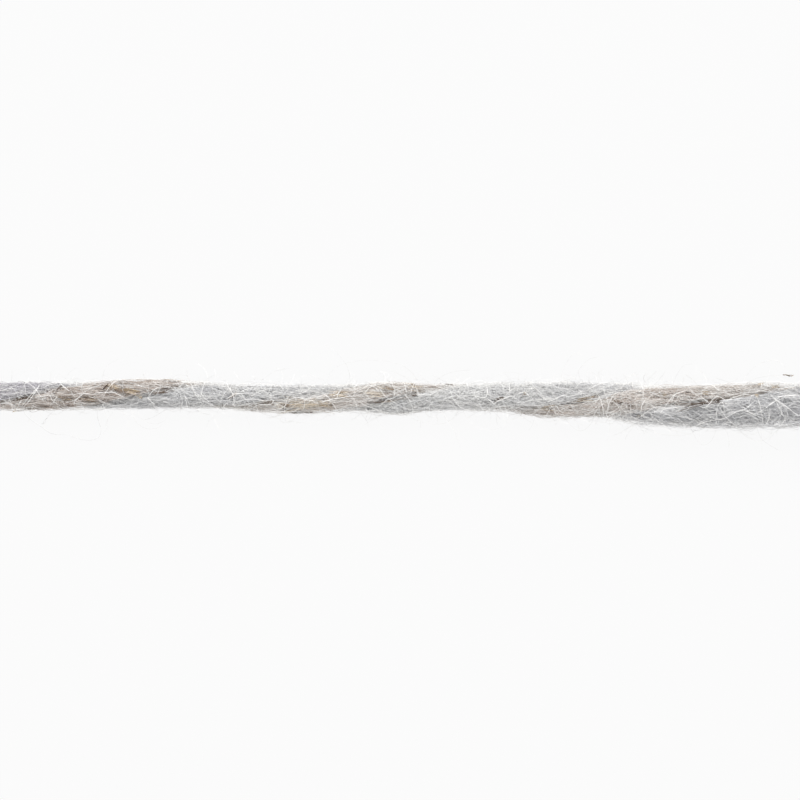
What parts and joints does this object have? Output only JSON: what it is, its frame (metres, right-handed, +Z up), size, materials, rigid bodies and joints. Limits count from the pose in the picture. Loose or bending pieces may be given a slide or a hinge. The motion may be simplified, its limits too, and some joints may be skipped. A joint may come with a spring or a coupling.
{
  "type": "length of two-ply knitting yarn",
  "caption": "Cut length of soft thick-and-thin tweed knitting yarn: a grey wool ply and an oatmeal tweed ply twisted together, with a slub at one end.",
  "frame": {"origin": "middle of the strand's box, on the surface that it lies on", "axes": "+X along the strand towards the slub, +Z up"},
  "size_m": [0.066, 0.0034, 0.0031],
  "materials": {
    "oatmeal_tweed_wool": "matte, hairy, with brown and golden flecks",
    "grey_wool": "matte, soft and hairy",
    "white_wool_hair": "matte, translucent stray fibres",
    "brown_fleck": "matte, brown to golden"
  },
  "bodies": {
    "root": {"ply_oatmeal": "oatmeal_tweed_wool", "ply_grey": "grey_wool"}
  },
  "joints": []
}
